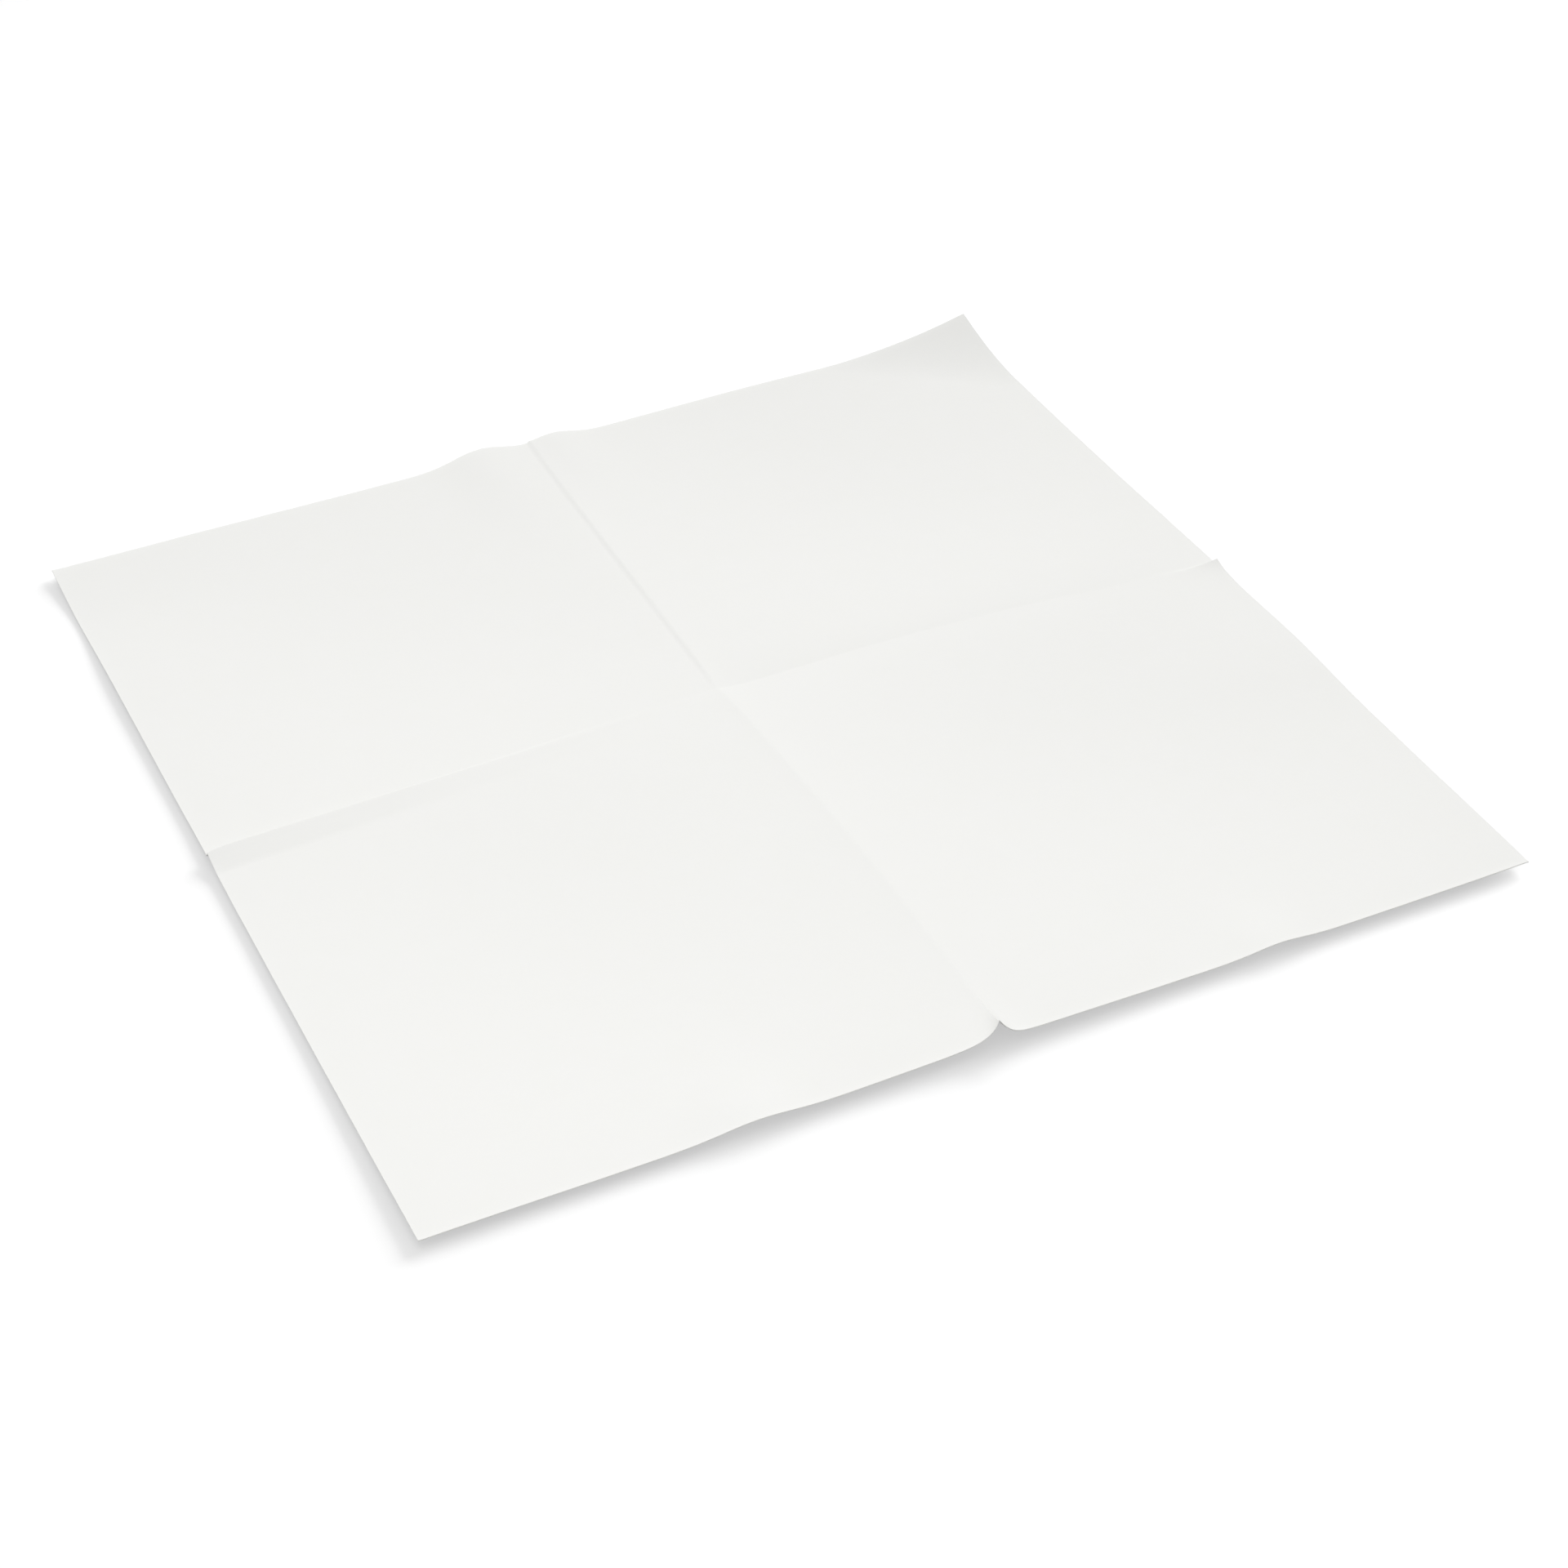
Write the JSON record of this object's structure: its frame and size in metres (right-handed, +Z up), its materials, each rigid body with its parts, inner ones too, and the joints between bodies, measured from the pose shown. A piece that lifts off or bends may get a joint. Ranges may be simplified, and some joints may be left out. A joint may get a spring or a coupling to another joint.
{
  "type": "paper napkin",
  "caption": "Square paper napkin opened out flat, with two crossing fold creases, slightly raised free edges and a curled back corner.",
  "frame": {"origin": "under the middle of the opened square, on the table it lies on", "axes": "+Z up, away from the table; +X to the right and +Y to the back, along the sides of the square"},
  "size_m": [0.33, 0.33, 0.0119],
  "materials": {
    "tissue_paper": "soft matt two-ply tissue, lightly embossed"
  },
  "bodies": {
    "root": {"napkin_sheet": "tissue_paper"}
  },
  "joints": []
}
